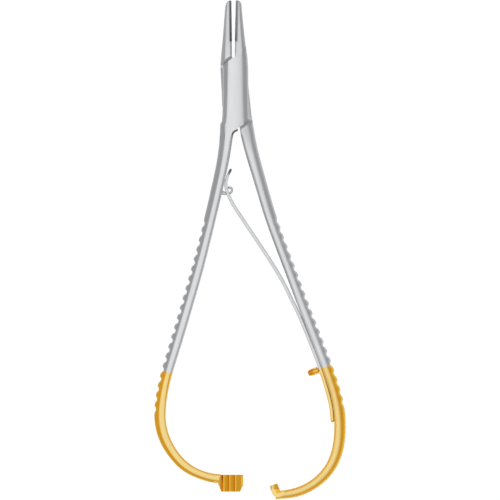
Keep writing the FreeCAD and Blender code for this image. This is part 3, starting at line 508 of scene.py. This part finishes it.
# Slot in the spring that the keeper passes through, from corner to corner
SLOT = ((-6.0, -36.0, MIDDLE - 1.05), (0.0, -30.8, MIDDLE + 1.05))


def drawn_line(places):
    """Points of the smooth line through some places, in metres."""
    curve = bpy.data.curves.new("drawn_line", "CURVE")
    curve.dimensions = "3D"
    curve.resolution_u = LINE_STEPS
    spline = curve.splines.new("BEZIER")
    spline.bezier_points.add(len(places) - 1)
    for point, (x, y) in zip(spline.bezier_points, places):
        point.co = Vector((x, y, MIDDLE)) * MM
        point.handle_left_type = point.handle_right_type = "AUTO"
    holder = placed("drawn_line", curve)
    line = worked_out(holder)
    points = [vertex.co.copy() for vertex in line.vertices]
    bpy.data.objects.remove(holder)
    bpy.data.meshes.remove(line)
    return points


def strip_rings(line, first, last, reach):
    """Place, direction, half thickness and half width of each ring of a strip with rounded ends."""
    rings = []
    steps = len(line) - 1
    for index, place in enumerate(line):
        ahead = (line[min(index + 1, steps)] - line[max(index - 1, 0)]).normalized()
        share = min(1.0, 2 * index / steps)
        half = (first + (last - first) * share * share * (3 - 2 * share)) / 2
        rings.append((place, ahead, half, reach))
    for place, ahead, half, way in (rings[0][:3] + (-1,), rings[-1][:3] + (1,)):
        for turn in END_TURNS:
            out, shrink = math.sin(math.radians(turn)), math.cos(math.radians(turn))
            ring = (place + ahead * half * out * way, ahead, half * shrink, reach - half * (1 - shrink))
            rings.insert(0 if way < 0 else len(rings), ring)
    return rings


def strip_shell(rings):
    """Closed skin over the rings, each a rectangle with rounded corners."""
    shell = bmesh.new()
    rows = []
    for place, ahead, half, reach in rings:
        square = Vector((-ahead.y, ahead.x, 0.0))
        corner = min(STRIP_ROUNDING * MM, half * 0.9)
        row = []
        for step in range(SECTION_POINTS):
            angle = math.radians((step + 0.5) * 360 / SECTION_POINTS)
            across = math.copysign(half - corner, math.cos(angle)) + corner * math.cos(angle)
            deep = math.copysign(reach - corner, math.sin(angle)) + corner * math.sin(angle)
            row.append(shell.verts.new(place + square * across + Vector((0.0, 0.0, deep))))
        rows.append(row)
    for row, following in zip(rows, rows[1:]):
        for step in range(SECTION_POINTS):
            onward = (step + 1) % SECTION_POINTS
            shell.faces.new((row[step], row[onward], following[onward], following[step]))
    shell.faces.new(rows[0])
    shell.faces.new(rows[-1])
    bmesh.ops.recalc_face_normals(shell, faces=shell.faces)
    return shell


def strip_piece(name, node, places, sizes, material):
    """Strip along a smooth line, from its first and last thickness and its depth."""
    first, last, deep = (size * MM for size in sizes)
    piece = placed(name, as_mesh(strip_shell(strip_rings(drawn_line(places), first, last, deep / 2)), name))
    if node == "leaf_spring":
        cut_slot(piece)
    smooth(piece.data)
    piece.data.set_sharp_from_angle(angle=SHARP)
    piece.data.materials.append(material)
    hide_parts(node)
    return piece


def cut_slot(spring):
    """Cuts the slot that the keeper passes through."""
    low, high = (Vector(corner) * MM for corner in SLOT)
    block = bmesh.new()
    bmesh.ops.create_cube(block, size=1.0)
    for vertex in block.verts:
        vertex.co = Vector([(a + b) / 2 + c * (b - a) for a, b, c in zip(low, high, vertex.co)])
    cutter = placed("slot_block", as_mesh(block, "slot_block"))
    cut = spring.modifiers.new("slot", "BOOLEAN")
    cut.operation = "DIFFERENCE"
    cut.solver = "EXACT"
    cut.object = cutter
    settle(spring)
    bpy.data.objects.remove(cutter)


# Middle line of the spring from its curl to its foot on the right arm
SPRING_LINE = (
    (-1.84, -26.57), (-2.55, -28.00), (-3.08, -29.50), (-3.42, -31.00), (-3.37, -32.50), (-2.73, -34.58),
    (-1.55, -37.30), (2.56, -43.78), (7.12, -50.60), (11.58, -57.40), (15.67, -64.20), (19.06, -71.00),
    (21.38, -75.8), (24.75, -84.0), (28.26, -93.1), (31.10, -101.9), (32.43, -107.6), (32.86, -111.9),
)
# Middle line of the keeper, out of the left arm and up towards the box, from its foot and its lean there
KEEPER_BENDS = ((-1.6, 0.0), (0.0, 0.0), (1.1, -0.05), (2.0, 0.05), (2.75, 0.45), (3.15, 1.30), (2.80, 2.10),
                (1.95, 2.20))
KEEPER_FOOT = Vector((-4.77, -34.28))
KEEPER_LEAN = Matrix.Rotation(math.radians(-12.6), 2)
# First and last thickness of each strip, and its depth
SPRING_SIZES, KEEPER_SIZES = (0.85, 1.24, 3.60), (1.55, 0.75, 1.50)
STUD_ROUNDING = 0.12

keeper_line = [tuple(KEEPER_FOOT + KEEPER_LEAN @ Vector(bend)) for bend in KEEPER_BENDS]

spring = strip_piece("spring_leaf", "leaf_spring", SPRING_LINE, SPRING_SIZES,
                     plated_steel("spring_finish", "tongue_half", SPRING, FINE_EDGE))
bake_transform(spring)
keeper = strip_piece("keeper_hook", "spring_keeper", keeper_line, KEEPER_SIZES,
                     plated_steel("keeper_finish", "box_half", KEEPER, FINE_EDGE))
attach(keeper, "box_half")
stud = rounded_copy("stud_turned", "stop_stud", STUD_ROUNDING * MM, gilt_finish())
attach(stud, "tongue_half")


# Pyramids of the gripping faces: the field's width and how much wider it is at its foot, and a pyramid's
# pitch, height, and reach as a share of the pitch
KNURL = {"Width": 2.3, "Spread": 1.5, "Pitch": 0.36, "Height": 0.045}
PYRAMID_REACH = 0.66
KNURL_MARGIN = 0.5
# Lower and upper end of each gripping face, with the jaws closed
BOX_FACE = ((-0.345, 17.3), (-0.020, 31.2))
TONGUE_FACE = ((-0.606, 17.3), (-0.140, 31.2))


def knurl_tree():
    """Rows of small pyramids over a tapering strip, its long way along Y, standing up along Z."""
    tree = bpy.data.node_groups.new("knurl", "GeometryNodeTree")
    for name, kind in (("Length", "Float"), ("Width", "Float"), ("Spread", "Float"), ("Pitch", "Float"),
                       ("Height", "Float"), ("Material", "Material")):
        tree.interface.new_socket(name, in_out="INPUT", socket_type="NodeSocket" + kind)
    tree.interface.new_socket("Geometry", in_out="OUTPUT", socket_type="NodeSocketGeometry")
    given = tree.nodes.new("NodeGroupInput").outputs
    made = tree.nodes.new("NodeGroupOutput")

    def node(kind, settings=(), **sockets):
        """A node with its sockets given by name, or by number as s0, s1 and so on."""
        item = tree.nodes.new(kind)
        for name, value in settings:
            setattr(item, name, value)
        for name, value in sockets.items():
            socket = item.inputs[int(name[1:]) if name[1:].isdigit() else name.replace("_", " ")]
            if isinstance(value, bpy.types.NodeSocket):
                tree.links.new(value, socket)
            else:
                socket.default_value = value
        return item

    def reckon(operation, first, second=0.0):
        return node("ShaderNodeMath", [("operation", operation)], s0=first, s1=second).outputs[0]

    def steps(length):
        return reckon("ADD", reckon("FLOOR", reckon("DIVIDE", length, given["Pitch"])), 1.0)

    across = reckon("ADD", given["Width"], given["Spread"])
    grid = node("GeometryNodeMeshGrid", Size_X=across, Size_Y=given["Length"],
                Vertices_X=steps(across), Vertices_Y=steps(given["Length"]))
    parts = node("ShaderNodeSeparateXYZ", s0=node("GeometryNodeInputPosition").outputs[0])
    down = reckon("SUBTRACT", 0.5, reckon("DIVIDE", parts.outputs[1], given["Length"]))
    room = reckon("DIVIDE", reckon("ADD", given["Width"], reckon("MULTIPLY", given["Spread"], down)), 2.0)
    outside = reckon("GREATER_THAN", reckon("ABSOLUTE", parts.outputs[0]), room)
    strip = node("GeometryNodeDeleteGeometry", Geometry=grid.outputs[0], Selection=outside)
    cone = node("GeometryNodeMeshCone", [("fill_type", "NONE")], Vertices=4, Radius_Top=0.0,
                Radius_Bottom=reckon("MULTIPLY", given["Pitch"], PYRAMID_REACH), Depth=given["Height"])
    points = node("GeometryNodeMeshToPoints", Mesh=strip.outputs[0])
    rows = node("GeometryNodeInstanceOnPoints", Points=points.outputs[0], Instance=cone.outputs[0])
    solid = node("GeometryNodeRealizeInstances", Geometry=rows.outputs[0])
    done = node("GeometryNodeSetMaterial", Geometry=solid.outputs[0], Material=given["Material"])
    tree.links.new(done.outputs[0], made.inputs[0])
    return tree


def knurling(name, body, tree, ends, opening, facing, material):
    """Pyramids on one insert's gripping face, opened with its jaw and facing right or left."""
    jaw = Matrix.Rotation(opening, 3, "Z")
    foot, head = (jaw @ Vector((x, y, MIDDLE)) * MM for x, y in ends)
    piece = placed(name, bpy.data.meshes.new(name))
    modifier = piece.modifiers.new("knurl", "NODES")
    modifier.node_group = tree
    values = {label: size * MM for label, size in KNURL.items()}
    values["Length"] = (head - foot).length - KNURL_MARGIN * MM
    values["Material"] = material
    for socket in tree.interface.items_tree:
        if socket.in_out == "INPUT":
            modifier[socket.identifier] = values[socket.name]
    settle(piece)
    along = (head - foot).normalized()
    out = Vector((along.y, -along.x, 0.0)) * facing
    turn = Matrix((along.cross(out), along, out)).transposed().to_4x4()
    piece.data.transform(Matrix.Translation((foot + head) / 2) @ turn)
    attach(piece, body)


knurl = knurl_tree()
knurling("box_insert_knurl", "box_half", knurl, BOX_FACE, 0.0, -1, box_metal)
knurling("tongue_insert_knurl", "tongue_half", knurl, TONGUE_FACE, OPENING, 1, shaded_tongue_metal)


# Table, in metres: half its width and how far it lies below the instrument; then how bright it looks
# and how much light it gives back
TABLE_HALF, TABLE_DROP = 1.5, 0.0002
TABLE_GLOW, TABLE_PAPER = 0.93, (0.16, 0.16, 0.16, 1.0)
# Where the tent is brightest, its brightness by how far round it lies from there, and its strength
BRIGHTEST = Vector((-0.20, 0.06, 0.98)).normalized()
TENT = ((0.0, 0.95), (0.30, 0.58), (0.60, 0.58), (0.85, 0.76), (1.0, 1.0))
TENT_STRENGTH = 0.98
# Camera: its height above the instrument in metres, its sensor's width, the width it sees and its place
CAMERA_HEIGHT, CAMERA_SENSOR = 5.0, 36.0
CAMERA_WIDE, CAMERA_PLACE = 170.35, (4.77, -53.83)


def table_top():
    """White sheet under the instrument, as wide as a studio table."""
    mesh = bpy.data.meshes.new("table_top")
    corners = [(-1, -1), (1, -1), (1, 1), (-1, 1)]
    mesh.from_pydata([(x * TABLE_HALF, y * TABLE_HALF, 0) for x, y in corners], [], [(0, 1, 2, 3)])
    sheet = placed("table_top", mesh)
    sheet.location.z = -TABLE_DROP
    recipe = Recipe("white_sheet")
    recipe.tree.nodes.remove(recipe.shader)
    seen = recipe.add("ShaderNodeLightPath").outputs
    rays = recipe.math("ADD", seen["Is Camera Ray"], seen["Is Glossy Ray"], clamp=True)
    rays = recipe.math("ADD", rays, seen["Is Transmission Ray"], clamp=True)
    glow = recipe.add("ShaderNodeEmission")
    recipe.link(recipe.product(rays, TABLE_GLOW), glow.inputs["Strength"])
    paper = recipe.add("ShaderNodeBsdfDiffuse")
    paper.inputs["Color"].default_value = TABLE_PAPER
    both = recipe.add("ShaderNodeAddShader")
    recipe.link(glow.outputs[0], both.inputs[0])
    recipe.link(paper.outputs[0], both.inputs[1])
    recipe.link(both.outputs[0], recipe.output.inputs[0])
    mesh.materials.append(recipe.material)


def studio_light():
    """Soft white tent: bright overhead, dimmer towards the table."""
    world = bpy.data.worlds.new("tent")
    bpy.context.scene.world = world
    world.use_nodes = True
    tree = world.node_tree
    tree.nodes.clear()
    where = tree.nodes.new("ShaderNodeTexCoord")
    facing = tree.nodes.new("ShaderNodeVectorMath")
    facing.operation = "DOT_PRODUCT"
    tree.links.new(where.outputs["Generated"], facing.inputs[0])
    facing.inputs[1].default_value = BRIGHTEST
    ramp = tree.nodes.new("ShaderNodeValToRGB")
    ramp.color_ramp.interpolation = "EASE"
    stops = ramp.color_ramp.elements
    for _ in TENT[2:]:
        stops.new(0.5)
    for stop, (height, level) in zip(stops, TENT):
        stop.position, stop.color = height, (level, level, level, 1.0)
    tree.links.new(facing.outputs["Value"], ramp.inputs[0])
    light = tree.nodes.new("ShaderNodeBackground")
    tree.links.new(ramp.outputs[0], light.inputs["Color"])
    light.inputs["Strength"].default_value = TENT_STRENGTH
    output = tree.nodes.new("ShaderNodeOutputWorld")
    tree.links.new(light.outputs[0], output.inputs[0])


def camera_above():
    """Long lens straight above the instrument."""
    data = bpy.data.cameras.new("above")
    data.sensor_width = CAMERA_SENSOR
    data.lens = CAMERA_SENSOR * CAMERA_HEIGHT / (CAMERA_WIDE * MM)
    data.clip_end = 10 * CAMERA_HEIGHT
    camera = placed("above", data)
    x, y = CAMERA_PLACE
    camera.location = (x * MM, y * MM, CAMERA_HEIGHT + MIDDLE * MM)
    bpy.context.scene.camera = camera


table_top()
studio_light()
camera_above()
bpy.context.scene.view_settings.view_transform = "Standard"
